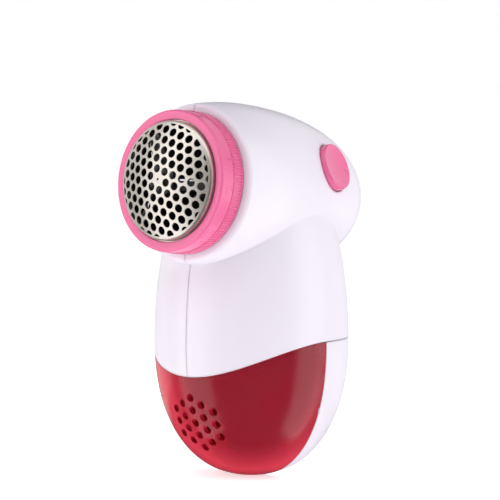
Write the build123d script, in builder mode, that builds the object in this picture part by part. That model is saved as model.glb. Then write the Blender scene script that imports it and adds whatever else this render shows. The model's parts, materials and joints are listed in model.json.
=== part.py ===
"""Hand-held fabric shaver with a lint bin: a two-cell, motor-driven cutter under a domed perforated foil.

Millimetres. +Z runs up the grip, the foil looks towards -Y, and the origin is the centre of the small
flat that the shaver stands on. The head is a pod of revolution whose axis tips up towards the foil.
Head sketches are drawn as (radius, depth), where depth is measured behind the foil's rim.
"""

import os
from math import acos, cos, hypot, pi, radians, sin, sqrt

from build123d import *

# ---------------------------------------------------------------- driving dimensions
HEAD_PITCH = 5.6  # degrees the foil looks up
FOIL_Y, FOIL_Z = -38.1, 91.55  # centre of the foil's rim
POD_RADIUS = 26.1
POD_WIDEST = 28.9  # depth of the pod's widest section
POD_AHEAD, POD_AHEAD_EXPONENT = 49.8, 1.95  # half-length and roundness in front of the widest section
POD_BEHIND, POD_BEHIND_EXPONENT = 53.2, 2.23
POD_FRONT = 9.5  # depth of the pod's front face
GRIP_RADIUS, GRIP_WIDEST_Z = 30.2, 42.7
GRIP_BELOW, GRIP_BELOW_EXPONENT = 43.2, 2.27  # height of the egg below its widest section
GRIP_ABOVE, GRIP_TOP_Z = 66.5, 82.0
SHOULDER = 1.5  # rounding of the pod's front edge
WALL = 1.6  # thickness of the casings

SEAM_Z, SEAM_ARC, SEAM_ARC_Y = 42.8, 50.0, 1.0  # lower edge of the housing: flat, then an arc forwards
BIN_BACK_Y = -0.6  # the bin's rear face, where the battery cover takes over
GAP = 0.2  # visible gap between casings
PARTING = 0.05  # half the gap between the two housing halves

FOIL_RADIUS, FOIL_RISE, FOIL_SHEET = 17.9, 3.8, 0.3
FOIL_PROUD = 0.75  # how far the dome's edge stands in front of the rim plane
HOLE_PITCH, HOLE_RADIUS, HOLE_FIELD = 3.285, 1.23, 16.9
HOLE_TURN, PILOT_HOLE = 12.5, 0.4  # turn of the hole pattern in degrees; radius of the hole in its middle
RING_RADIUS, RING_BACK = 21.5, 9.2
RING_RIBS = 144
COLLAR_RADIUS = 20.2  # the chamber's neck, which the foil ring turns on
BAYONET_LEAD = 14.4  # advance of the ring in one turn
CHAMBER_BORE, CHAMBER_FLOOR = 18.3, 22.4

SHAFT_RADIUS = 1.0
MOTOR_FRONT, MOTOR_LENGTH, MOTOR_RADIUS, MOTOR_FLATS = 25.4, 19.0, 10.05, 15.4
HUB_FLOAT = 0.8  # how far the cutter can be pushed in against its spring

CELL_RADIUS, CELL_LENGTH = 7.25, 49.5  # an AA cell without its nipple
CELL_X, CELL_Y = 7.6, 9.0

BUTTON_DEPTH, BUTTON_TURN = 49.6, 69.7  # place on the pod: depth, and degrees from its top towards +X
BUTTON_RADIUS, BUTTON_RAISE, BUTTON_TRAVEL = 7.3, 1.4, 1.5

VENT_PITCH, VENT_COLUMN, VENT_RADIUS, VENT_Z = 3.9, 3.7, 1.3, 18.1

# ---------------------------------------------------------------- the head's frame
PITCH = radians(HEAD_PITCH)
INTO_HEAD = Vector(0, cos(PITCH), -sin(PITCH))
HEAD_UP = Vector(0, sin(PITCH), cos(PITCH))
FOIL_CENTRE = Vector(0, FOIL_Y, FOIL_Z)
HEAD_AXIS = Axis(FOIL_CENTRE, INTO_HEAD)
HEAD_SECTION = Plane(origin=FOIL_CENTRE, x_dir=(1, 0, 0), z_dir=HEAD_UP)


def head_plane(depth, turn=0):
    """A plane across the head, facing out through the foil, with local X turned up from +X by degrees."""
    across = Vector(cos(radians(turn)), 0, 0) + HEAD_UP * sin(radians(turn))
    return Plane(origin=FOIL_CENTRE + INTO_HEAD * depth, x_dir=across, z_dir=INTO_HEAD * -1)


def head_point(x, up, depth):
    """A point given across, up and along the head."""
    return FOIL_CENTRE + Vector(x, 0, 0) + HEAD_UP * up + INTO_HEAD * depth


def publish(builder, name):
    """Label a finished piece and write its STEP file."""
    builder.part.label = name
    export_step(builder.part, f"parts/{name}.step")


# ---------------------------------------------------------------- outlines of the casings
def oval_radius(distance, radius, half_length, exponent):
    """Radius of a superellipse of revolution at a distance from its widest section."""
    reach = min(abs(distance) / half_length, 1.0)
    return radius * (1 - reach**exponent) ** (1 / exponent)


def oval_curve(radius, half_length, exponent, widest, end, steps=9):
    """Points (radius, along) from the widest section to an end, closer together where it curves."""
    reach = (end - widest) / half_length
    turn = pi / 2 if abs(reach) >= 1 else abs(pi / 2 - acos(abs(reach)))
    points = []
    for step in range(steps + 1):
        along = half_length * sin(turn * step / steps) * (1 if reach > 0 else -1)
        points.append((oval_radius(along, radius, half_length, exponent), widest + along))
    return points


def end_slope(points):
    """Direction of travel at the last point of an outline."""
    (x0, y0), (x1, y1) = points[-2:]
    return (x1 - x0, y1 - y0)


def pod_solid(inset, front=POD_FRONT):
    """The head pod, drawn in by an inset, from a depth back to its rounded rear."""
    radius, ahead, behind = POD_RADIUS - inset, POD_AHEAD - inset, POD_BEHIND - inset
    forward = oval_curve(radius, ahead, POD_AHEAD_EXPONENT, POD_WIDEST, front, 5)
    rearward = oval_curve(radius, behind, POD_BEHIND_EXPONENT, POD_WIDEST, POD_WIDEST + behind)
    with BuildPart() as pod:
        with BuildSketch(HEAD_SECTION) as section:
            with BuildLine():
                Spline(*forward, tangents=((0, -1), end_slope(forward)))
                Spline(*rearward, tangents=((0, 1), (-1, 0)))
                Polyline(rearward[-1], (0, front), forward[-1])
            make_face()
            shoulder = section.vertices().filter_by(lambda v: v.X > 1 and v.Y < front + 0.01)
            fillet(shoulder, max(SHOULDER - inset, 0.3))
        revolve(axis=HEAD_AXIS)
    return pod.part


def grip_solid(inset, top=GRIP_TOP_Z):
    """The egg-shaped grip, drawn in by an inset, up to a height inside the pod."""
    radius = GRIP_RADIUS - inset
    down = oval_curve(radius, GRIP_BELOW - inset, GRIP_BELOW_EXPONENT, GRIP_WIDEST_Z, inset - 1, 10)
    up = oval_curve(radius, GRIP_ABOVE - inset, 2, GRIP_WIDEST_Z, top, 6)
    with BuildPart() as grip:
        with BuildSketch(Plane.XZ):
            with BuildLine():
                Spline(*down, tangents=((0, -1), (-1, 0)))
                Spline(*up, tangents=((0, 1), end_slope(up)))
                Polyline(down[-1], (0, top), up[-1])
            make_face()
        revolve(axis=Axis.Z)
    return grip.part


def body_solid(inset, front=POD_FRONT):
    """Pod and grip in one, drawn in by an inset."""
    with BuildPart() as body:
        add(pod_solid(inset, front))
        add(grip_solid(inset))
    return body.part


def seam_prism(lift, above, reach=60):
    """Everything above, or below, the housing's lower edge, with the edge raised by a lift."""
    level = SEAM_Z + lift
    drop_y = -31.5
    drop = SEAM_ARC - sqrt(SEAM_ARC**2 - (drop_y - SEAM_ARC_Y) ** 2)
    far = level + reach + 40 if above else -10
    with BuildPart() as prism:
        with BuildSketch(Plane.YZ):
            with BuildLine():
                Line((50, level), (SEAM_ARC_Y, level))
                RadiusArc((SEAM_ARC_Y, level), (drop_y, level - drop), -SEAM_ARC)
                Polyline((drop_y, level - drop), (-60, level - drop), (-60, far), (50, far), (50, level))
            make_face()
        extrude(amount=reach, both=True)
    return prism.part


def block(x_span, y_span, z_span, mode=Mode.ADD):
    """A plain box given by its limits, added to the part being built."""
    spans = (x_span, y_span, z_span)
    size = [high - low for low, high in spans]
    centre = tuple((high + low) / 2 for low, high in spans)
    with Locations(centre):
        Box(*size, mode=mode)


def rod(radius, low, high, mode=Mode.ADD):
    """A cylinder along local Z between two heights, added to the part being built."""
    with Locations((0, 0, (low + high) / 2)):
        Cylinder(radius, high - low, mode=mode)


def helix_bar(radius, lead, height, width, depth):
    """A bar of rectangular, or with no depth round, section wound right-handed up local Z."""
    with BuildPart() as bar:
        with BuildLine() as path:
            Helix(pitch=lead, height=height, radius=radius)
        with BuildSketch(Plane(origin=path.line @ 0, x_dir=(1, 0, 0), z_dir=path.line % 0)):
            if depth:
                Rectangle(depth, width)
            else:
                Circle(width / 2)
        sweep(path=path.line, is_frenet=True)
    return bar.part


def coil_spring(name, wire, radius, turns, stands):
    """Compression springs, each standing on a base plane with a given height, as one node."""
    with BuildPart() as springs:
        for base, height in stands:
            with Locations(base.offset(wire / 2 + 0.05)):
                rise = height - wire - 0.1
                add(helix_bar(radius, rise / turns, rise, wire, 0))
    publish(springs, name)


os.makedirs("parts", exist_ok=True)
above_seam = seam_prism(0, above=True)
below_seam = seam_prism(-GAP, above=False)

# ---------------------------------------------------------------- shaving foil
SHEET_SPHERE = (FOIL_RADIUS**2 + FOIL_RISE**2) / (2 * FOIL_RISE)
SPHERE_DEPTH = SHEET_SPHERE - FOIL_RISE - FOIL_PROUD  # depth of the dome's centre of curvature
FLANGE_DEPTH, FLANGE_RADIUS = 1.8, 19.9


def dome_depth(radius, sphere):
    """Depth of a dome of a given sphere radius, all domes here sharing one centre."""
    return SPHERE_DEPTH - sqrt(sphere**2 - radius**2)


def dome_arc(sphere, radius):
    """Arc (radius, depth) from the dome's centre out to a radius."""
    ends = [(r, dome_depth(r, sphere)) for r in (0, radius / 2, radius)]
    return ThreePointArc(*ends)


def hole_grid(pitch, reach):
    """Centres of a triangular grid whose columns run up the head, without its middle one."""
    span = int(2 * reach / pitch) + 2
    places = []
    for column in range(-span, span + 1):
        for row in range(-span, span + 1):
            x = column * pitch * sqrt(3) / 2
            y = (row + column % 2 / 2) * pitch
            if 0 < hypot(x, y) <= reach:
                places.append((x, y))
    return places


with BuildPart() as shaving_foil:
    skin = SHEET_SPHERE - FOIL_SHEET
    inside = FOIL_RADIUS - FOIL_SHEET
    with BuildSketch(HEAD_SECTION) as section:
        with BuildLine():
            outside_arc = dome_arc(SHEET_SPHERE, FOIL_RADIUS)
            inside_arc = dome_arc(skin, inside)
            Polyline(
                outside_arc @ 1,
                (FOIL_RADIUS, FLANGE_DEPTH),
                (FLANGE_RADIUS, FLANGE_DEPTH),
                (FLANGE_RADIUS, FLANGE_DEPTH + FOIL_SHEET),
                (inside, FLANGE_DEPTH + FOIL_SHEET),
                inside_arc @ 1,
            )
            Line(outside_arc @ 0, inside_arc @ 0)
        make_face()
        rims = section.vertices().filter_by(lambda v: v.X > 17 and v.Y < FLANGE_DEPTH / 2)
        fillet(rims.sort_by(Axis.X)[-1], 0.9)
        fillet(section.vertices().filter_by(lambda v: abs(v.X - inside) < 0.01 and v.Y < 1), 0.6)
    revolve(axis=HEAD_AXIS)
    with BuildSketch(head_plane(2, HOLE_TURN)):
        with Locations(*hole_grid(HOLE_PITCH, HOLE_FIELD + 0.6)):
            Circle(HOLE_RADIUS)
        Circle(HOLE_FIELD, mode=Mode.INTERSECT)
        Circle(PILOT_HOLE)
    extrude(amount=10, mode=Mode.SUBTRACT)
publish(shaving_foil, "shaving_foil")

# ---------------------------------------------------------------- foil ring
PIN_DEPTH, PIN_RADIUS, PIN_TIP = 5.6, 0.9, 19.4
RING_BORE, RING_MOUTH = 20.5, 18.3
RIB_START, RIB_HEIGHT = 5.2, 0.2
with BuildPart() as foil_ring:
    with BuildSketch(HEAD_SECTION) as section:
        with BuildLine():
            face_edge = Line((RING_MOUTH, 0.55), (20.4, 0.25))
            shoulder_edge = Spline(face_edge @ 1, (21.02, 0.5), (21.22, 1.15), tangents=((1, 0), (0.02, 1)))
            Polyline(
                shoulder_edge @ 1,
                (RING_RADIUS - RIB_HEIGHT - 0.05, RIB_START),
                (RING_RADIUS - RIB_HEIGHT, RING_BACK),
                (RING_BORE, RING_BACK),
                (RING_BORE, FLANGE_DEPTH - 0.1),
                (RING_MOUTH, FLANGE_DEPTH - 0.1),
                face_edge @ 0,
            )
        make_face()
        fillet(section.vertices().filter_by(lambda v: v.X < RING_MOUTH + 0.1 and v.Y < 0.8), 0.3)
    revolve(axis=HEAD_AXIS)
    with BuildSketch(head_plane(RING_BACK)):
        Circle(RING_RADIUS - RIB_HEIGHT)
        with PolarLocations(RING_RADIUS - 0.25, RING_RIBS):
            Rectangle(0.5, 0.5)
        Circle(RING_BORE + 0.2, mode=Mode.SUBTRACT)
    extrude(amount=RING_BACK - RIB_START)
    with BuildSketch(HEAD_SECTION):
        with Locations((RING_RADIUS - 0.4, RING_BACK - 0.35)):
            Rectangle(0.8, 0.7)
    revolve(axis=HEAD_AXIS)
    with Locations(head_plane(PIN_DEPTH)):
        with PolarLocations(0, 3):
            with Locations(Location(((RING_BORE + 0.4 + PIN_TIP) / 2, 0, 0), (0, 90, 0))):
                Cylinder(PIN_RADIUS, RING_BORE + 0.4 - PIN_TIP)
publish(foil_ring, "foil_ring")

# ---------------------------------------------------------------- cutter chamber, neck and lint chute
NECK_FRONT, CHAMBER_BACK = 2.35, CHAMBER_FLOOR + WALL
FLANGE_FRONT, FLANGE_BACK, FLANGE_REACH = 11.3, 12.9, 22.3
SLOT_FLOOR, SLOT_WIDTH, SLOT_RUN_IN = 19.1, 2.2, 4.0
CHUTE_X, CHUTE_FRONT_Y, CHUTE_BACK_Y, CHUTE_WALL = 8.5, -24.0, -16.8, 1.1
CHUTE_LOW, CHUTE_HIGH = 46.5, 74.0


def motor_outline(clearance, mode=Mode.ADD):
    """Round motor can with two flats that face left and right."""
    with BuildSketch(mode=Mode.PRIVATE) as outline:
        Circle(MOTOR_RADIUS + clearance)
        Rectangle(MOTOR_FLATS + 2 * clearance, 30, mode=Mode.INTERSECT)
    add(outline.sketch, mode=mode)


slot_top = COLLAR_RADIUS + 0.5
slot = helix_bar((SLOT_FLOOR + slot_top) / 2, BAYONET_LEAD, 5, SLOT_WIDTH, slot_top - SLOT_FLOOR)

with BuildPart() as cutter_chamber:
    with BuildSketch(HEAD_SECTION):
        with BuildLine():
            Polyline(
                (CHAMBER_BORE, NECK_FRONT),
                (COLLAR_RADIUS, NECK_FRONT),
                (COLLAR_RADIUS, FLANGE_FRONT),
                (FLANGE_REACH, FLANGE_FRONT),
                (FLANGE_REACH, FLANGE_BACK),
                (COLLAR_RADIUS, FLANGE_BACK),
                (COLLAR_RADIUS, CHAMBER_BACK),
                (3.2, CHAMBER_BACK),
                (3.2, CHAMBER_FLOOR),
                (CHAMBER_BORE, CHAMBER_FLOOR),
                close=True,
            )
        make_face()
    revolve(axis=HEAD_AXIS)
    for turn in (0, 120, 240):
        with Locations(head_plane(PIN_DEPTH + BAYONET_LEAD * SLOT_RUN_IN / 360, turn - SLOT_RUN_IN)):
            add(slot, mode=Mode.SUBTRACT)
    with BuildSketch(head_plane(CHAMBER_BACK + 8)):
        Circle(11.6)
        motor_outline(0.12, Mode.SUBTRACT)
    extrude(amount=8)
    block((-CHUTE_X, CHUTE_X), (CHUTE_FRONT_Y, CHUTE_BACK_Y), (CHUTE_LOW, CHUTE_HIGH))
    with BuildSketch(head_plane(CHAMBER_FLOOR)):
        Circle(CHAMBER_BORE)
    extrude(amount=CHAMBER_FLOOR, mode=Mode.SUBTRACT)
    block(
        (CHUTE_WALL - CHUTE_X, CHUTE_X - CHUTE_WALL),
        (CHUTE_FRONT_Y + CHUTE_WALL, CHUTE_BACK_Y - CHUTE_WALL),
        (CHUTE_LOW - 1, CHUTE_HIGH + 6),
        Mode.SUBTRACT,
    )
publish(cutter_chamber, "cutter_chamber")

# ---------------------------------------------------------------- cutter
SPINDLE_FRONT, SPINDLE_BACK, SPINDLE_RADIUS, DRIVE_FLATS = 2.4, 21.4, 2.4, 4.0
SEAT_FRONT, SEAT_BACK, SEAT_RADIUS = 12.6, 13.8, 4.2
HUB_BACK, HUB_RADIUS = 9.0, 4.8
BLADE_SPHERE = SHEET_SPHERE - FOIL_SHEET - 0.3
BLADE_TIP = 16.6

with BuildPart(head_plane(0)) as cutter_hub:
    rod(HUB_RADIUS, -HUB_BACK, 4)
    with BuildSketch(head_plane(6.0)):
        with PolarLocations(0, 3):
            with Locations((BLADE_TIP / 2, -1.6)):
                Rectangle(BLADE_TIP - 0.6, 2.6)
    extrude(amount=6.5)
    with Locations((0, 0, -SPHERE_DEPTH)):
        Sphere(BLADE_SPHERE - 0.8, mode=Mode.INTERSECT)
    with BuildSketch(head_plane(HUB_BACK)):
        RegularPolygon(DRIVE_FLATS / 2 + 0.06, 6, major_radius=False)
    extrude(amount=HUB_BACK - 1.2, mode=Mode.SUBTRACT)
publish(cutter_hub, "cutter_hub")

with BuildPart() as cutter_blades:
    with BuildSketch(head_plane(5.4)):
        with PolarLocations(0, 3):
            with Locations(((BLADE_TIP + HUB_RADIUS) / 2 + 0.1, -0.05)):
                Rectangle(BLADE_TIP - HUB_RADIUS - 0.2, 0.5)
    extrude(amount=10)
    with Locations(Location(head_point(0, 0, SPHERE_DEPTH))):
        Sphere(BLADE_SPHERE, mode=Mode.INTERSECT)
publish(cutter_blades, "cutter_blades")

with BuildPart(head_plane(0)) as cutter_spindle:
    rod(SPINDLE_RADIUS, -SPINDLE_BACK, -HUB_BACK - HUB_FLOAT - 0.5)
    rod(SEAT_RADIUS, -SEAT_BACK, -SEAT_FRONT)
    with BuildSketch(head_plane(SEAT_FRONT)):
        RegularPolygon(DRIVE_FLATS / 2, 6, major_radius=False)
    extrude(amount=SEAT_FRONT - SPINDLE_FRONT)
    rod(SHAFT_RADIUS, -SPINDLE_BACK - 1, -SEAT_BACK, Mode.SUBTRACT)
publish(cutter_spindle, "cutter_spindle")

coil_spring("cutter_spring", 0.5, 3.3, 3, [(head_plane(SEAT_FRONT), SEAT_FRONT - HUB_BACK)])

# ---------------------------------------------------------------- motor
MOTOR_BACK = MOTOR_FRONT + MOTOR_LENGTH
CAN_WALL, BUSH_RADIUS = 0.8, 2.4
CAP_BACK = MOTOR_BACK + 2.4
STACK_FRONT, STACK_BACK, STACK_RADIUS, STACK_HUB = 29.5, 39.5, 6.0, 2.2
MAGNET_INNER = 6.5
COMMUTATOR_FRONT, COMMUTATOR_BACK, COMMUTATOR_RADIUS = 41.6, 44.2, 1.9

with BuildPart(head_plane(0)) as motor_can:
    with BuildSketch(head_plane(MOTOR_BACK)):
        motor_outline(0)
    extrude(amount=MOTOR_LENGTH)
    with BuildSketch(head_plane(MOTOR_BACK)):
        motor_outline(-CAN_WALL)
    extrude(amount=MOTOR_LENGTH - CAN_WALL, mode=Mode.SUBTRACT)
    rod(BUSH_RADIUS + 0.6, -MOTOR_FRONT, -CHAMBER_FLOOR - 0.2)
    rod(BUSH_RADIUS, -MOTOR_FRONT - CAN_WALL, -CHAMBER_FLOOR, Mode.SUBTRACT)
publish(motor_can, "motor_can")

with BuildPart(head_plane(0)) as motor_bushes:
    for low, high in ((-MOTOR_FRONT - CAN_WALL, -CHAMBER_FLOOR - 0.2), (-CAP_BACK - 1.2, -MOTOR_BACK - 1.2)):
        rod(BUSH_RADIUS, low, high)
        rod(SHAFT_RADIUS + 0.03, low, high, Mode.SUBTRACT)
publish(motor_bushes, "motor_bushes")

with BuildPart() as motor_magnets:
    with BuildSketch(head_plane(STACK_BACK + 1)):
        motor_outline(-CAN_WALL - 0.03)
        Circle(MAGNET_INNER, mode=Mode.SUBTRACT)
        Rectangle(12, 30, mode=Mode.INTERSECT)
        Rectangle(30, 6, mode=Mode.SUBTRACT)
    extrude(amount=STACK_BACK - STACK_FRONT + 2)
publish(motor_magnets, "motor_magnets")

with BuildPart(head_plane(0)) as motor_armature:
    rod(STACK_HUB, -STACK_BACK, -STACK_FRONT)
    with BuildSketch(head_plane(STACK_BACK)):
        Circle(STACK_RADIUS)
        Circle(STACK_RADIUS - 0.9, mode=Mode.SUBTRACT)
        with PolarLocations(STACK_RADIUS, 3, start_angle=60):
            Rectangle(3, 1.2, mode=Mode.SUBTRACT)
        with PolarLocations(STACK_RADIUS / 2, 3):
            Rectangle(STACK_RADIUS - 1, 1.8)
    extrude(amount=STACK_BACK - STACK_FRONT)
    rod(SHAFT_RADIUS, -STACK_BACK, -STACK_FRONT, Mode.SUBTRACT)
publish(motor_armature, "motor_armature")

with BuildPart() as motor_windings:
    with BuildSketch(head_plane(STACK_BACK + 0.9)):
        with PolarLocations(3.75, 3):
            Rectangle(1.9, 3.8)
    extrude(amount=STACK_BACK - STACK_FRONT + 1.8)
    with BuildSketch(head_plane(STACK_BACK)):
        with PolarLocations(3.75, 3):
            Rectangle(2.4, 1.84)
    extrude(amount=STACK_BACK - STACK_FRONT, mode=Mode.SUBTRACT)
publish(motor_windings, "motor_windings")

with BuildPart(head_plane(0)) as motor_commutator:
    rod(COMMUTATOR_RADIUS, -COMMUTATOR_BACK, -COMMUTATOR_FRONT)
    rod(SHAFT_RADIUS, -COMMUTATOR_BACK, -COMMUTATOR_FRONT, Mode.SUBTRACT)
    with BuildSketch(head_plane(COMMUTATOR_BACK)):
        with PolarLocations(COMMUTATOR_RADIUS, 3, start_angle=60):
            Rectangle(0.8, 0.3)
    extrude(amount=COMMUTATOR_BACK - COMMUTATOR_FRONT, mode=Mode.SUBTRACT)
publish(motor_commutator, "motor_commutator")

with BuildPart(head_plane(0)) as motor_shaft:
    rod(SHAFT_RADIUS, -CAP_BACK - 2, -SEAT_BACK)
publish(motor_shaft, "motor_shaft")

TERMINAL_UP = 6.2
with BuildPart(head_plane(0)) as motor_end_cap:
    with BuildSketch(head_plane(CAP_BACK)):
        motor_outline(-0.1)
    extrude(amount=CAP_BACK - MOTOR_BACK)
    with BuildSketch(head_plane(MOTOR_BACK)):
        motor_outline(-CAN_WALL - 0.05)
        Circle(4.5, mode=Mode.SUBTRACT)
        Rectangle(3, 30, mode=Mode.SUBTRACT)
    extrude(amount=1.5)
    rod(3.2, -CAP_BACK - 1.2, -CAP_BACK)
    rod(BUSH_RADIUS, -CAP_BACK - 2, -MOTOR_BACK - 1.2, Mode.SUBTRACT)
    rod(2.6, -MOTOR_BACK - 1.21, -MOTOR_BACK, Mode.SUBTRACT)
    with BuildSketch(head_plane(CAP_BACK)):
        with Locations((0, TERMINAL_UP), (0, -TERMINAL_UP)):
            Rectangle(2.5, 0.5)
    extrude(amount=5, mode=Mode.SUBTRACT)
publish(motor_end_cap, "motor_end_cap")

with BuildPart() as motor_terminals:
    with BuildSketch(head_plane(CAP_BACK + 3)):
        with Locations((0, TERMINAL_UP), (0, -TERMINAL_UP)):
            Rectangle(2.4, 0.4)
    extrude(amount=3 + CAP_BACK - COMMUTATOR_BACK + 1.9)
    with BuildSketch(head_plane(COMMUTATOR_BACK + 0.1)):
        for side in (1, -1):
            with Locations((0, side * (TERMINAL_UP + COMMUTATOR_RADIUS + 0.1) / 2)):
                Rectangle(1.4, TERMINAL_UP - COMMUTATOR_RADIUS + 0.1)
    extrude(amount=0.3)
publish(motor_terminals, "motor_terminals")

# ---------------------------------------------------------------- power button and switch
button_turn = radians(BUTTON_TURN)
button_place = BUTTON_DEPTH - POD_WIDEST
button_radius = oval_radius(button_place, POD_RADIUS, POD_BEHIND, POD_BEHIND_EXPONENT)
further_back = oval_radius(button_place + 0.01, POD_RADIUS, POD_BEHIND, POD_BEHIND_EXPONENT)
button_slope = (further_back - button_radius) / 0.01
button_out = HEAD_UP * cos(button_turn) + Vector(sin(button_turn), 0, 0)
BUTTON_PLANE = Plane(
    origin=FOIL_CENTRE + INTO_HEAD * BUTTON_DEPTH + button_out * button_radius,
    x_dir=INTO_HEAD + button_out * button_slope,
    z_dir=button_out - INTO_HEAD * button_slope,
)
BUTTON_FLANGE_TOP, BUTTON_FLANGE_LOW, BUTTON_FLANGE_RADIUS = -3.5, -4.4, 8.6
STEM_END, PLATE_TOP, PLATE_LOW, SWITCH_END = -8.2, -9.8, -11.0, -15.0
PLUNGER_END = -12.6
DISH_RADIUS, DISH_WALL, DISH_SAG = 5.7, 0.35, 0.45  # the button's dished face
GUIDE_INNER, GUIDE_OUTER, SCREW_EAR, EAR_RADIUS = 9.0, 10.2, 11.4, 2.4
SWITCH_SIZE = 8.0


def button_plane(height):
    """A plane square to the button's travel, at a height above the pod's skin."""
    return BUTTON_PLANE.offset(height)


with BuildPart(BUTTON_PLANE) as power_button:
    rod(BUTTON_RADIUS, BUTTON_FLANGE_TOP, BUTTON_RAISE)
    fillet(power_button.edges().sort_by(Axis(BUTTON_PLANE.origin, BUTTON_PLANE.z_dir))[-1], 0.7)
    rod(DISH_RADIUS, BUTTON_RAISE - DISH_WALL, BUTTON_RAISE + 1, Mode.SUBTRACT)
    dish_sphere = (DISH_RADIUS**2 + DISH_SAG**2) / (2 * DISH_SAG)
    with Locations((0, 0, BUTTON_RAISE - DISH_WALL - DISH_SAG + dish_sphere)):
        Sphere(dish_sphere, mode=Mode.SUBTRACT)
    rod(BUTTON_FLANGE_RADIUS, BUTTON_FLANGE_LOW, BUTTON_FLANGE_TOP)
    rod(2.5, STEM_END, BUTTON_FLANGE_LOW)
publish(power_button, "power_button")

with BuildPart(BUTTON_PLANE) as switch_plunger:
    rod(1.4, PLUNGER_END, STEM_END)
publish(switch_plunger, "switch_plunger")

coil_spring("button_spring", 0.6, 3.6, 4, [(button_plane(PLATE_TOP), BUTTON_FLANGE_LOW - PLATE_TOP)])

with BuildPart(BUTTON_PLANE) as switch_body:
    with BuildSketch(button_plane(SWITCH_END)):
        RectangleRounded(SWITCH_SIZE, SWITCH_SIZE, 0.6)
    extrude(amount=PLATE_LOW - SWITCH_END)
    rod(1.5, PLUNGER_END - BUTTON_TRAVEL - 0.2, PLATE_LOW, Mode.SUBTRACT)
publish(switch_body, "switch_body")

with BuildPart() as switch_terminals:
    with BuildSketch(button_plane(SWITCH_END + 1.6)):
        with Locations((SWITCH_SIZE / 2 + 1.7, -2), (SWITCH_SIZE / 2 + 1.7, 2)):
            Rectangle(3.4, 1.6)
    extrude(amount=0.4)
publish(switch_terminals, "switch_terminals")

with BuildPart(BUTTON_PLANE) as switch_bracket:
    with BuildSketch(button_plane(PLATE_LOW)):
        Circle(GUIDE_OUTER)
        with Locations((0, SCREW_EAR), (0, -SCREW_EAR)):
            Circle(EAR_RADIUS)
        Circle(1.8, mode=Mode.SUBTRACT)
        with Locations((0, SCREW_EAR), (0, -SCREW_EAR)):
            Circle(0.95, mode=Mode.SUBTRACT)
    extrude(amount=PLATE_TOP - PLATE_LOW)
    with BuildSketch(button_plane(SWITCH_END)):
        with Locations((0, SWITCH_SIZE / 2 + 0.6), (0, -SWITCH_SIZE / 2 - 0.6)):
            Rectangle(6, 1.1)
    extrude(amount=PLATE_LOW - SWITCH_END)
publish(switch_bracket, "switch_bracket")

with BuildPart(BUTTON_PLANE) as switch_screws:
    for side in (SCREW_EAR, -SCREW_EAR):
        with BuildSketch(button_plane(PLATE_LOW - 1.1)):
            with Locations((0, side)):
                Circle(1.7)
        extrude(amount=1.1)
        with BuildSketch(button_plane(PLATE_LOW)):
            with Locations((0, side)):
                Circle(0.85)
        extrude(amount=4.5)
publish(switch_screws, "switch_screws")

# ---------------------------------------------------------------- housing halves
SCREW_PLACES = ((-3.2, 58.0), (23.6, 57.0), (28.0, 85.0), (-2.0, 105.8))  # (Y, Z) of the case screws
BOSS_RADIUS, PILOT_RADIUS, SHANK_HOLE, HEAD_HOLE = 2.9, 1.05, 1.45, 2.5
SCREW_SEAT, SCREW_REACH, SCREW_HEAD, SCREW_HEAD_HEIGHT = -5.0, 8.0, 2.25, 1.6
EAR_LOW, EAR_HIGH, EAR_Y = 50.0, 52.0, (2.0, 8.0)
HOLDER_EAR_X = 24.5
MOUTH_RADIUS = COLLAR_RADIUS + 0.8  # opening in the pod's front face
RING_RIB_RADIUS, RING_RIB_HEIGHT, RING_RIB_THICKNESS = 23.6, 5.6, 1.4  # rib that holds the chamber's flange
EAR_RIB = 1.5  # thickness of the ribs above and below the battery holder's ears
TONGUE = (-0.8, 1.0)  # X limits of the left half's tongue
RECESS = 1.2  # depth of the tongue's recess in the right half


def body_wall(x_span, outer=0, inner=WALL):
    """The casing between two insets, above the seam and open at the front, between two X limits."""
    with BuildPart() as wall:
        add(body_solid(outer, front=POD_FRONT + outer))
        add(body_solid(inner, front=POD_FRONT + inner), mode=Mode.SUBTRACT)
        add(above_seam, mode=Mode.INTERSECT)
        with BuildSketch(head_plane(POD_FRONT - 1)):
            Circle(MOUTH_RADIUS)
        extrude(amount=-4, mode=Mode.SUBTRACT)
        block(x_span, (-60, 60), (0, 130), Mode.INTERSECT)
    return wall.part


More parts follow.
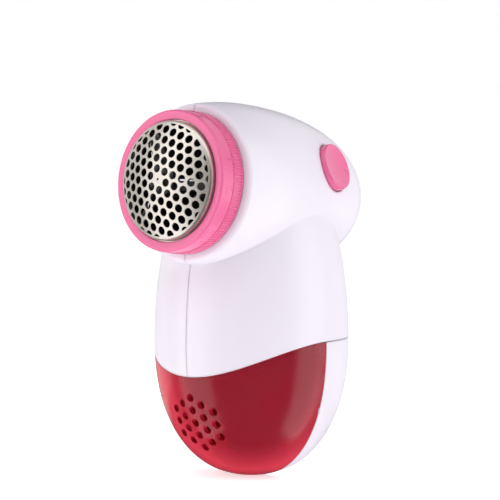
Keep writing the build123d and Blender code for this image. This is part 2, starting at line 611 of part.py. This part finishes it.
def housing_half(side):
    """One half of the housing: side is +1 for the right (+X) half and -1 for the left."""
    with BuildPart() as inside:
        with BuildSketch(HEAD_SECTION):
            with Locations((RING_RIB_RADIUS, FLANGE_BACK + 0.2 + RING_RIB_THICKNESS / 2)):
                Rectangle(RING_RIB_HEIGHT, RING_RIB_THICKNESS)
        revolve(axis=HEAD_AXIS)
        rib_end = PARTING if side < 0 else RECESS
        block(sorted((side * rib_end, side * 60)), (-60, 60), (0, 130), Mode.INTERSECT)
        for y, z in SCREW_PLACES:
            with BuildSketch(Plane.YZ.offset(side * PARTING)):
                with Locations((y, z)):
                    Circle(BOSS_RADIUS)
            extrude(amount=side * 40)
        for low in (EAR_LOW - EAR_RIB - 0.2, EAR_HIGH + 0.2):
            block(sorted((side * 18.0, side * 40.0)), (EAR_Y[0] - 1, EAR_Y[1] + 1), (low, low + EAR_RIB))
        if side > 0:
            with BuildSketch(button_plane(PLATE_TOP)):
                Circle(GUIDE_OUTER)
                with Locations((0, SCREW_EAR), (0, -SCREW_EAR)):
                    Circle(EAR_RADIUS)
            extrude(amount=12)
            with BuildSketch(button_plane(PLATE_TOP)):
                Circle(GUIDE_INNER)
            extrude(amount=-PLATE_TOP - WALL - 1.7, mode=Mode.SUBTRACT)
        add(body_solid(WALL / 2, front=POD_FRONT + WALL / 2), mode=Mode.INTERSECT)
    with BuildPart() as half:
        add(body_wall(sorted((side * PARTING, side * 60))))
        if side > 0:
            with BuildPart(mode=Mode.PRIVATE) as recess:
                add(body_solid(WALL / 2, front=POD_FRONT + WALL / 2))
                block((-1, RECESS), (-60, 60), (0, 130), Mode.INTERSECT)
            add(recess.part, mode=Mode.SUBTRACT)
        add(inside.part)
    return half.part


with BuildPart() as left_housing:
    add(housing_half(-1))
    add(body_wall(TONGUE, WALL / 2 + 0.06, WALL + 0.05))
    for y, z in SCREW_PLACES:
        with BuildSketch(Plane.YZ.offset(5)):
            with Locations((y, z)):
                Circle(SHANK_HOLE)
        extrude(amount=-50, mode=Mode.SUBTRACT)
        with BuildSketch(Plane.YZ.offset(SCREW_SEAT)):
            with Locations((y, z)):
                Circle(HEAD_HOLE)
        extrude(amount=-50, mode=Mode.SUBTRACT)
    add(left_housing.part.solids(), mode=Mode.REPLACE)
publish(left_housing, "left_housing")

with BuildPart() as right_housing:
    add(housing_half(1))
    for y, z in SCREW_PLACES:
        with BuildSketch(Plane.YZ):
            with Locations((y, z)):
                Circle(PILOT_RADIUS)
        extrude(amount=SCREW_REACH + 1, mode=Mode.SUBTRACT)
    with BuildSketch(button_plane(-6)):
        Circle(BUTTON_RADIUS + 0.3)
    extrude(amount=10, mode=Mode.SUBTRACT)
    with BuildSketch(button_plane(PLATE_TOP)):
        with Locations((0, SCREW_EAR), (0, -SCREW_EAR)):
            Circle(0.9)
    extrude(amount=4, mode=Mode.SUBTRACT)
publish(right_housing, "right_housing")

with BuildPart() as housing_screws:
    for y, z in SCREW_PLACES:
        with BuildSketch(Plane.YZ.offset(SCREW_SEAT)):
            with Locations((y, z)):
                Circle(SCREW_HEAD)
        extrude(amount=-SCREW_HEAD_HEIGHT)
        with BuildSketch(Plane.YZ.offset(SCREW_SEAT)):
            with Locations((y, z)):
                Circle(PILOT_RADIUS - 0.05)
        extrude(amount=SCREW_REACH - SCREW_SEAT)
        with BuildSketch(Plane.YZ.offset(SCREW_SEAT - SCREW_HEAD_HEIGHT)):
            with Locations((y, z)):
                Rectangle(2.6, 0.5)
                Rectangle(0.5, 2.6)
        extrude(amount=0.9, mode=Mode.SUBTRACT)
publish(housing_screws, "housing_screws")

# ---------------------------------------------------------------- lint bin
BIN_WALL = 1.5
LIP_FOOT, LIP_RISE = 2.4, 1.6


def rim_lip(back_of, front_of):
    """A thin lip inside a cover's rim that stands up into the housing, between two Y limits."""
    with BuildPart() as lip:
        add(grip_solid(WALL + 0.15))
        add(grip_solid(WALL + 0.95), mode=Mode.SUBTRACT)
        add(seam_prism(LIP_RISE, above=False), mode=Mode.INTERSECT)
        add(seam_prism(-LIP_FOOT, above=True), mode=Mode.INTERSECT)
        block((-40, 40), (back_of, front_of), (0, 60), Mode.INTERSECT)
    with BuildPart() as foot:
        add(grip_solid(BIN_WALL - 0.3))
        add(grip_solid(WALL + 0.95), mode=Mode.SUBTRACT)
        add(seam_prism(-GAP - 0.4, above=False), mode=Mode.INTERSECT)
        add(seam_prism(-LIP_FOOT, above=True), mode=Mode.INTERSECT)
        block((-40, 40), (back_of, front_of), (0, 60), Mode.INTERSECT)
    return lip.part + foot.part


def vent_places():
    """A hexagon of nineteen vents whose columns run up the bin."""
    places = []
    for column in range(-2, 3):
        rows = 5 - abs(column)
        for row in range(rows):
            places.append((column * VENT_COLUMN, VENT_Z + (row - (rows - 1) / 2) * VENT_PITCH))
    return places


def edge_notch(y, z, size):
    """Small finger-nail notches in both side edges of a cover at the bin's back line."""
    reach = oval_radius(z - GRIP_WIDEST_Z, GRIP_RADIUS, GRIP_BELOW, GRIP_BELOW_EXPONENT)
    for side in (1, -1):
        edges = sorted((side * (reach - 0.8), side * (reach + 2)))
        block(edges, (y - size, y + size), (z - 0.7, z + 0.7), Mode.SUBTRACT)


with BuildPart() as lint_bin:
    add(grip_solid(0))
    add(below_seam, mode=Mode.INTERSECT)
    block((-40, 40), (-60, BIN_BACK_Y), (0, 60), Mode.INTERSECT)
    with BuildPart(mode=Mode.PRIVATE) as bin_hollow:
        add(grip_solid(BIN_WALL))
        block((-40, 40), (-60, BIN_BACK_Y - BIN_WALL), (0, 60), Mode.INTERSECT)
    add(bin_hollow.part, mode=Mode.SUBTRACT)
    add(rim_lip(-60, BIN_BACK_Y - BIN_WALL - 1.5))
    with BuildSketch(Plane.XZ.offset(10)):
        with Locations(*vent_places()):
            Circle(VENT_RADIUS)
    extrude(amount=30, mode=Mode.SUBTRACT)
    edge_notch(BIN_BACK_Y, 21.7, 0.5)
publish(lint_bin, "lint_bin")

# ---------------------------------------------------------------- battery cover
COVER_FRONT_Y = BIN_BACK_Y + GAP
with BuildPart() as battery_cover:
    add(grip_solid(0))
    add(below_seam, mode=Mode.INTERSECT)
    add(grip_solid(WALL), mode=Mode.SUBTRACT)
    add(rim_lip(6, 40))
    block((-40, 40), (COVER_FRONT_Y, 60), (0, 60), Mode.INTERSECT)
    for step in range(5):
        with Locations(Location((0, 29.6, 27 + 2.2 * step), (0, 90, 0))):
            Cylinder(0.7, 12 - 1.2 * abs(step - 2), mode=Mode.SUBTRACT)
    for side in (1, -1):
        with Locations(Location((side * 23.4, 19.2, SEAM_Z - GAP), (0, 0, side * 39))):
            Box(2.6, 2.2, 1.0, mode=Mode.SUBTRACT)
publish(battery_cover, "battery_cover")

# ---------------------------------------------------------------- battery holder, cells and contacts
HOLDER_FRONT, HOLDER_BACK, HOLDER_X, HOLDER_WALL = -0.3, 17.0, 16.2, 1.3
HOLDER_LOW, HOLDER_HIGH = 8.0, 65.6
FLOOR_TOP, CEILING_LOW = 9.6, 64.0
CONTACT_SHEET, NIPPLE = 0.4, 1.0
LEFT_CELL_LOW, RIGHT_CELL_LOW = 13.0, FLOOR_TOP + CONTACT_SHEET + NIPPLE

with BuildPart() as battery_holder:
    width, height = (-HOLDER_X, HOLDER_X), (HOLDER_LOW, HOLDER_HIGH)
    block(width, (HOLDER_FRONT, HOLDER_FRONT + HOLDER_WALL), height)
    block(width, (HOLDER_FRONT, HOLDER_BACK), (HOLDER_LOW, FLOOR_TOP))
    block(width, (HOLDER_FRONT, HOLDER_BACK), (CEILING_LOW, HOLDER_HIGH))
    for side in (1, -1):
        block(sorted((side * 15.0, side * HOLDER_X)), (HOLDER_FRONT, 10.5), height)
        block(sorted((side * 15.5, side * HOLDER_EAR_X)), EAR_Y, (EAR_LOW, EAR_HIGH))
    add(grip_solid(WALL + 0.5), mode=Mode.INTERSECT)
    for side in (1, -1):
        edges = sorted((side * (CELL_X - 1.3), side * (CELL_X + 1.3)))
        block(edges, (CELL_Y - 0.5, CELL_Y + 0.5), (CEILING_LOW - 1, HOLDER_HIGH + 1), Mode.SUBTRACT)
publish(battery_holder, "battery_holder")


def cell(x, low, nipple_up):
    """One AA cell standing at x, its nipple at the top or the bottom."""
    with BuildPart() as made:
        with Locations((x, CELL_Y, low + CELL_LENGTH / 2)):
            Cylinder(CELL_RADIUS, CELL_LENGTH)
        fillet(made.edges(), 0.5)
        middle = low + CELL_LENGTH + NIPPLE / 2 if nipple_up else low - NIPPLE / 2
        with Locations((x, CELL_Y, middle)):
            Cylinder(2.75, NIPPLE)
    return made


battery_left = cell(-CELL_X, LEFT_CELL_LOW, nipple_up=True)
publish(battery_left, "battery_left")
battery_right = cell(CELL_X, RIGHT_CELL_LOW, nipple_up=False)
publish(battery_right, "battery_right")

PLATE_Z = LEFT_CELL_LOW + CELL_LENGTH + NIPPLE
with BuildPart() as contact_bridge:
    block((-12, 12), (CELL_Y - 4, CELL_Y + 4), (FLOOR_TOP, FLOOR_TOP + CONTACT_SHEET))
publish(contact_bridge, "contact_bridge")

with BuildPart() as contact_plates:
    for side in (1, -1):
        plate = sorted((side * 3.6, side * 11.6))
        tab = sorted((side * (CELL_X - 1.0), side * (CELL_X + 1.0)))
        block(plate, (CELL_Y - 4, CELL_Y + 4), (PLATE_Z, PLATE_Z + CONTACT_SHEET))
        block(tab, (CELL_Y - 0.2, CELL_Y + 0.2), (PLATE_Z, HOLDER_HIGH + 2.2))
publish(contact_plates, "contact_plates")

spring_stands = [
    (Plane((-CELL_X, CELL_Y, FLOOR_TOP + CONTACT_SHEET)), LEFT_CELL_LOW - FLOOR_TOP - CONTACT_SHEET),
    (Plane((CELL_X, CELL_Y, RIGHT_CELL_LOW + CELL_LENGTH)), PLATE_Z - RIGHT_CELL_LOW - CELL_LENGTH),
]
coil_spring("contact_springs", 0.7, 3.2, 3, spring_stands)

# ---------------------------------------------------------------- wires
WIRE_RADIUS = 0.6


def wire(name, route, bend):
    """An insulated lead along straight runs joined by equal bends."""
    with BuildPart() as lead:
        with BuildLine() as path:
            FilletPolyline(*route, radius=bend)
        with BuildSketch(path.line ^ 0):
            Circle(WIRE_RADIUS)
        sweep(path=path.line)
    publish(lead, name)


motor_low = head_point(0, -TERMINAL_UP, CAP_BACK + 3)
motor_high = head_point(0, TERMINAL_UP, CAP_BACK + 3)
switch_ends = [
    BUTTON_PLANE.from_local_coords(Vector(SWITCH_SIZE / 2 + 3.5, side, SWITCH_END + 1.8)) for side in (2, -2)
]
tab_top = HOLDER_HIGH + 2.2 + WIRE_RADIUS
black_route = [(CELL_X, CELL_Y, tab_top), (CELL_X, 13.5, 71.5), (3, 16, 77), motor_low + Vector(0, 0.7, 0)]
motor_route = [
    motor_high + Vector(0, 0.7, 0),
    motor_high + Vector(1.5, 5.0, 0.5),
    switch_ends[0] + Vector(-1, 3.2, 1),
    switch_ends[0] + Vector(0, 0.7, 0),
]
red_route = [
    (-CELL_X, CELL_Y, tab_top),
    (-CELL_X, 15, 72),
    (-4, 20.5, 79),
    (5, 22, 85),
    switch_ends[1] + Vector(0, 0.8, -0.4),
]
wire("black_wire", black_route, 2.0)
wire("motor_wire", motor_route, 1.6)
wire("red_wire", red_route, 2.4)
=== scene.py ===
import json
import math

import bpy
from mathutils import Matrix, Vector


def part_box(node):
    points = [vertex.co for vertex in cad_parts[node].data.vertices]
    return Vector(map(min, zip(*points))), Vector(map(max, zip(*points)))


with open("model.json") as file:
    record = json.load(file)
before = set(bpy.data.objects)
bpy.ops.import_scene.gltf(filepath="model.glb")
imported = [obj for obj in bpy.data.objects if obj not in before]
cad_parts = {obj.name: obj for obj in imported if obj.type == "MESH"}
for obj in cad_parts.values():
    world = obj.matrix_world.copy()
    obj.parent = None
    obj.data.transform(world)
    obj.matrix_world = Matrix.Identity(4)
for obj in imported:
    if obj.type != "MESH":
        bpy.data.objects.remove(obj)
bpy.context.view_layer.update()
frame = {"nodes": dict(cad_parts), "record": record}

nodes = frame["nodes"]
MM = 0.001
SIGNAL_LOW, SIGNAL_HIGH = 0.3, 0.7  # the part of a noise or facing signal that is spread over a range
PLASTIC_IOR, COAT_ROUGHNESS = 1.5, 0.06
BEVEL_SAMPLES = 6


# ---------------------------------------------------------------- node helpers
class Shader:
    """A new material whose nodes are added and wired by short calls."""

    def __init__(self, name):
        self.material = bpy.data.materials.new(name)
        self.material.use_nodes = True
        self.tree = self.material.node_tree
        self.bsdf = self.tree.nodes["Principled BSDF"]

    def add(self, kind, **values):
        """Add a node; values set its properties, or its inputs when the name is an input's."""
        made = self.tree.nodes.new(kind)
        for key, value in values.items():
            label = key.replace("_", " ").title()
            if hasattr(made, key):
                setattr(made, key, value)
            else:
                made.inputs[label].default_value = value
        return made

    def link(self, source, target):
        self.tree.links.new(source, target)

    def set(self, **values):
        """Set the surface shader's own sockets."""
        for key, value in values.items():
            self.bsdf.inputs[key.replace("_", " ")].default_value = value

    def place(self, scale=(1, 1, 1)):
        """Object coordinates, stretched."""
        coordinates = self.add("ShaderNodeTexCoord")
        mapping = self.add("ShaderNodeMapping", vector_type="POINT")
        mapping.inputs["Scale"].default_value = scale
        self.link(coordinates.outputs["Object"], mapping.inputs["Vector"])
        return mapping.outputs["Vector"]

    def noise(self, scale, detail=3.0, roughness=0.5, stretch=(1, 1, 1)):
        """Fractal noise; scale is in features per metre."""
        made = self.add("ShaderNodeTexNoise", scale=scale, detail=detail, roughness=roughness)
        self.link(self.place(stretch), made.inputs["Vector"])
        return made.outputs["Fac"]

    def spread(self, source, low, high):
        """Map a signal to a range of numbers."""
        made = self.add("ShaderNodeMapRange")
        limits = {"From Min": SIGNAL_LOW, "From Max": SIGNAL_HIGH, "To Min": low, "To Max": high}
        for key, value in limits.items():
            made.inputs[key].default_value = value
        self.link(source, made.inputs["Value"])
        return made.outputs["Result"]

    def tint(self, source, first, second):
        """Colour that runs between two colours as a signal rises."""
        ramp = self.add("ShaderNodeValToRGB")
        ramp.color_ramp.elements[0].position = SIGNAL_LOW
        ramp.color_ramp.elements[0].color = (*first, 1)
        ramp.color_ramp.elements[1].position = SIGNAL_HIGH
        ramp.color_ramp.elements[1].color = (*second, 1)
        self.link(source, ramp.inputs["Fac"])
        return ramp.outputs["Color"]

    def relief(self, height, depth, strength=1.0, under=None):
        """Bump from a height signal; depth in metres."""
        bump = self.add("ShaderNodeBump", strength=strength, distance=depth)
        self.link(height, bump.inputs["Height"])
        if under is not None:
            self.link(under, bump.inputs["Normal"])
        return bump.outputs["Normal"]

    def rounded(self, radius):
        """Normals rounded over edges and creases by a radius in metres."""
        return self.add("ShaderNodeBevel", samples=BEVEL_SAMPLES, radius=radius).outputs["Normal"]

    def finish(self, colour=None, roughness=None, normal=None):
        """Wire the varying colour, roughness and normal into the surface shader."""
        for source, socket in ((colour, "Base Color"), (roughness, "Roughness"), (normal, "Normal")):
            if source is not None:
                self.link(source, self.bsdf.inputs[socket])
        return self.material


def plastic(name, colour, roughness=0.2, spread=0.06, coat=0.0, edge=0.15 * MM, peel=0.004 * MM,
            grain=900.0, shift=0.03, subsurface=0.0, depth=1.5 * MM, **sockets):
    """Moulded plastic: flow marks in colour and gloss, orange peel in the skin and softened edges."""
    shader = Shader(name)
    flow = shader.noise(38.0, 4.0, 0.55, (1.0, 1.0, 0.45))
    darker = tuple(value * (1 - shift) for value in colour)
    lighter = tuple(min(1.0, value * (1 + shift)) for value in colour)
    fine = shader.noise(grain, 2.0)
    shader.set(Coat_Weight=coat, Coat_Roughness=COAT_ROUGHNESS, IOR=PLASTIC_IOR)
    if subsurface:
        shader.set(Subsurface_Weight=subsurface, Subsurface_Scale=depth)
        shader.bsdf.inputs["Subsurface Radius"].default_value = (1.0, 0.8, 0.8)
    shader.set(**sockets)
    return shader.finish(
        shader.tint(flow, darker, lighter),
        shader.spread(shader.noise(140.0, 5.0, 0.6), roughness - spread, roughness + spread),
        shader.relief(fine, peel, 0.6, shader.rounded(edge)),
    )


def metal(name, colour, roughness=0.28, spread=0.08, stretch=(1, 1, 1), scratch=400.0, depth=0.004 * MM,
          edge=0.08 * MM, metallic=1.0):
    """Bare metal with a directional grain, faint staining and burnished edges."""
    shader = Shader(name)
    stain = shader.noise(60.0, 4.0, 0.6)
    grain = shader.noise(scratch, 4.0, 0.7, stretch)
    dark = tuple(value * 0.88 for value in colour)
    shader.set(Metallic=metallic)
    return shader.finish(
        shader.tint(stain, dark, colour),
        shader.spread(grain, roughness - spread, roughness + spread),
        shader.relief(grain, depth, 0.5, shader.rounded(edge)),
    )


# ---------------------------------------------------------------- materials
WHITE = (0.865, 0.815, 0.90)
PINK = (0.87, 0.15, 0.345)
# The second red is a painted glow: the bin's wall is painted brighter red where it is seen edge-on,
# standing in for light coming through its edges.
DEEP_RED, PAINTED_EDGE_GLOW_RED = (0.70, 0.024, 0.066), (0.97, 0.066, 0.115)


def casing_white():
    """Satin white ABS of the head, grip and battery cover, its creases softened in the shading."""
    return plastic("casing_white", WHITE, 0.34, 0.03, coat=0.12, edge=0.9 * MM, shift=0.012,
                   peel=0.003 * MM, grain=420.0, subsurface=0.08, depth=2 * MM)


def gloss_pink():
    """Pink ABS of the foil ring and the button."""
    return plastic("gloss_pink", PINK, 0.30, 0.05, coat=0.35, edge=0.12 * MM, shift=0.04,
                   peel=0.004 * MM, grain=700.0, subsurface=0.06, depth=1.0 * MM)


def clear_red():
    """Transparent red polystyrene of the lint bin, its colour painted brighter red where the wall is seen
    edge-on: a painted glow of light coming through its edges.
    """
    shader = Shader("clear_red")
    flow = shader.noise(55.0, 4.0, 0.6, (1.0, 1.0, 0.35))
    edge_on = shader.add("ShaderNodeLayerWeight", blend=0.6).outputs["Facing"]
    mixed = shader.add("ShaderNodeMixRGB", blend_type="MULTIPLY", fac=1.0)
    # Painted glow: the colour runs from the deep red to the brighter painted red as the wall turns
    # edge-on, standing in for light coming through the edges.
    shader.link(shader.tint(edge_on, DEEP_RED, PAINTED_EDGE_GLOW_RED), mixed.inputs["Color1"])
    shader.link(shader.tint(flow, (0.90, 0.88, 0.88), (1.0, 1.0, 1.0)), mixed.inputs["Color2"])
    shader.link(shader.spread(edge_on, 0.70, 0.34), shader.bsdf.inputs["Transmission Weight"])
    shader.set(IOR=1.45)
    return shader.finish(
        mixed.outputs["Color"],
        shader.spread(shader.noise(160.0, 5.0, 0.6), 0.15, 0.24),
        shader.relief(shader.noise(260.0, 2.0), 0.006 * MM, 0.5, shader.rounded(0.15 * MM)),
    )


def foil_steel():
    """Thin warm-toned stainless sheet, drawn into a dome and etched."""
    return metal("foil_steel", (0.80, 0.755, 0.68), 0.36, 0.06, scratch=900.0, depth=0.0025 * MM,
                 edge=0.05 * MM, metallic=0.84)


def matte(name, colour, roughness=0.5, grain=1500.0):
    """Plain moulded inner plastic with a fine spark-eroded texture."""
    return plastic(name, colour, roughness, 0.08, edge=0.1 * MM, peel=0.012 * MM, grain=grain, shift=0.06)


BAND_START, BAND_BLUR = 0.72, 0.1 * MM  # where a cell's copper stretch starts, as a share of its height


def cell_jacket():
    """Plain foil jacket of a cell: a dark body with a copper-coloured stretch near its top."""
    shader = Shader("cell_jacket")
    low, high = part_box("battery_left")
    split = low.z + BAND_START * (high.z - low.z)
    coordinates = shader.add("ShaderNodeTexCoord")
    axis = shader.add("ShaderNodeSeparateXYZ")
    shader.link(coordinates.outputs["Object"], axis.inputs["Vector"])
    band = shader.add("ShaderNodeMapRange")
    limits = {"From Min": split - BAND_BLUR, "From Max": split + BAND_BLUR,
              "To Min": SIGNAL_LOW, "To Max": SIGNAL_HIGH}
    for key, value in limits.items():
        band.inputs[key].default_value = value
    shader.link(axis.outputs["Z"], band.inputs["Value"])
    shader.set(Metallic=0.6, Coat_Weight=0.5)
    return shader.finish(
        shader.tint(band.outputs["Result"], (0.03, 0.05, 0.10), (0.62, 0.34, 0.16)),
        shader.spread(shader.noise(300.0, 4.0), 0.22, 0.36),
        shader.relief(shader.noise(500.0, 3.0), 0.01 * MM, 0.4, shader.rounded(0.2 * MM)),
    )


def rubber(name, colour):
    """Soft insulation of a lead: matt, with drag marks along it."""
    return plastic(name, colour, 0.42, 0.1, edge=0.05 * MM, peel=0.02 * MM, grain=1100.0, shift=0.12)


def make_materials():
    """One material for each slot of the record."""
    return {
        "white_abs": casing_white(),
        "pink_abs": gloss_pink(),
        "red_clear": clear_red(),
        "foil_steel": foil_steel(),
        "blade_steel": metal("blade_steel", (0.66, 0.67, 0.69), 0.22, 0.08, (1, 6, 1), 700.0),
        "black_plastic": matte("black_plastic", (0.028, 0.027, 0.03), 0.42),
        "grey_plastic": matte("grey_plastic", (0.32, 0.32, 0.34), 0.45),
        "white_inner": matte("white_inner", (0.66, 0.65, 0.67), 0.40),
        "spring_steel": metal("spring_steel", (0.60, 0.60, 0.61), 0.25, 0.06),
        "motor_steel": metal("motor_steel", (0.62, 0.62, 0.63), 0.32, 0.08, (1, 1, 8), 500.0),
        "magnet": matte("magnet", (0.06, 0.06, 0.065), 0.7, 2500.0),
        "brass": metal("brass", (0.72, 0.50, 0.20), 0.3),
        "copper": metal("copper", (0.72, 0.30, 0.14), 0.3, 0.08, (1, 1, 14), 1800.0, 0.05 * MM),
        "cell_jacket": cell_jacket(),
        "nickel": metal("nickel", (0.68, 0.66, 0.62), 0.2),
        "wire_red": rubber("wire_red", (0.55, 0.02, 0.02)),
        "wire_black": rubber("wire_black", (0.02, 0.02, 0.02)),
    }


def dress_nodes():
    """Give every CAD node the finished material of its slot."""
    materials = make_materials()
    for part in frame["record"]["subparts"]:
        mesh = nodes[part["node"]].data
        mesh.materials.clear()
        mesh.materials.append(materials[part["material_slot"]])


# ---------------------------------------------------------------- camera, stage and lights
AZIMUTH, ELEVATION = math.radians(40.54), math.radians(2.9)
DISTANCE, AIM_HEIGHT, AIM_SIDE = 0.650, 0.06944, -0.00047
VIEW_WIDTH = 0.1554  # metres across the picture at the object's distance
SENSOR = 36.0
STAGE_DEPTH, STAGE_RISE, STAGE_RADIUS, STAGE_WIDTH = 2.2, 4.0, 0.8, 6.0  # width each way from the middle
STAGE_FRONT, STAGE_STEPS = -4.0, 12
LIGHT_AIM = 0.065  # height that the soft boxes look at


def camera_axes():
    """Unit vectors out of the picture and to its right."""
    flat = math.cos(ELEVATION)
    back = Vector((math.sin(AZIMUTH) * flat, -math.cos(AZIMUTH) * flat, math.sin(ELEVATION)))
    right = Vector((math.cos(AZIMUTH), math.sin(AZIMUTH), 0))
    return back, right


def make_camera():
    back, right = camera_axes()
    data = bpy.data.cameras.new("camera")
    data.sensor_width = SENSOR
    data.lens = DISTANCE / VIEW_WIDTH * SENSOR
    data.clip_start, data.clip_end = 0.01, 20.0
    camera = bpy.data.objects.new("camera", data)
    bpy.context.scene.collection.objects.link(camera)
    camera.location = Vector((0, 0, AIM_HEIGHT)) + right * AIM_SIDE + back * DISTANCE
    camera.rotation_euler = back.to_track_quat("Z", "Y").to_euler()
    bpy.context.scene.camera = camera


def make_stage():
    """A pale seamless floor that curves up behind the object."""
    back, right = camera_axes()
    behind = Vector((-back.x, -back.y, 0)).normalized()
    flat_end = STAGE_DEPTH - STAGE_RADIUS
    line = [(STAGE_FRONT, 0.0), (flat_end, 0.0)]
    for step in range(1, STAGE_STEPS + 1):
        angle = math.pi / 2 * step / STAGE_STEPS
        line.append((flat_end + STAGE_RADIUS * math.sin(angle), STAGE_RADIUS * (1 - math.cos(angle))))
    line.append((STAGE_DEPTH, STAGE_RISE))
    vertices = []
    for along, height in line:
        for side in (-STAGE_WIDTH, STAGE_WIDTH):
            vertices.append(behind * along + right * side + Vector((0, 0, height)))
    faces = [(2 * k, 2 * k + 1, 2 * k + 3, 2 * k + 2) for k in range(len(line) - 1)]
    mesh = bpy.data.meshes.new("backdrop")
    mesh.from_pydata(vertices, [], faces)
    for face in mesh.polygons:
        face.use_smooth = True
    backdrop = bpy.data.objects.new("backdrop", mesh)
    bpy.context.scene.collection.objects.link(backdrop)
    backdrop.visible_glossy = False
    shader = Shader("paper")
    shader.set(Emission_Strength=0.62)
    shader.bsdf.inputs["Emission Color"].default_value = (1, 1, 1, 1)
    paper = shader.tint(shader.noise(3.0), (0.90, 0.90, 0.91), (0.93, 0.93, 0.93))
    mesh.materials.append(shader.finish(paper, shader.spread(shader.noise(80.0), 0.7, 0.9)))


def area_light(name, azimuth, elevation, distance, size, power,
               colour=(1, 1, 1), glossy=True, diffuse=True):
    """A soft box that looks at the object; its azimuth is measured from the camera's."""
    turn, lift = AZIMUTH + math.radians(azimuth), math.radians(elevation)
    back = Vector((math.sin(turn) * math.cos(lift), -math.cos(turn) * math.cos(lift), math.sin(lift)))
    data = bpy.data.lights.new(name, "AREA")
    data.shape = "RECTANGLE"
    data.size, data.size_y = size
    data.energy = power
    data.color = colour
    light = bpy.data.objects.new(name, data)
    bpy.context.scene.collection.objects.link(light)
    light.location = Vector((0, 0, LIGHT_AIM)) + back * distance
    light.rotation_euler = back.to_track_quat("Z", "Y").to_euler()
    light.visible_glossy = glossy
    light.visible_diffuse = diffuse
    light.visible_camera = False


def make_lights():
    area_light("side_right", 76, 0, 0.9, (0.7, 2.6), 9.4)
    area_light("side_left", -74, 0, 0.9, (0.8, 2.6), 9.4, (1.0, 0.985, 0.99))
    area_light("rim_right", 138, 12, 0.9, (0.9, 1.1), 2.0, diffuse=False)
    area_light("rim_left", -138, 12, 0.9, (0.9, 1.1), 2.0, diffuse=False)
    area_light("top", 0, 66, 1.0, (1.2, 0.9), 4.4)
    area_light("front", 0, 40, 1.4, (0.9, 0.9), 1.2, glossy=False)
    world = bpy.data.worlds.new("studio")
    world.use_nodes = True
    world.node_tree.nodes["Background"].inputs["Color"].default_value = (0.90, 0.90, 1.0, 1)
    world.node_tree.nodes["Background"].inputs["Strength"].default_value = 0.06
    bpy.context.scene.world = world
    view = bpy.context.scene.view_settings
    view.view_transform = "Standard"
    view.look = "None"


dress_nodes()
make_camera()
make_stage()
make_lights()
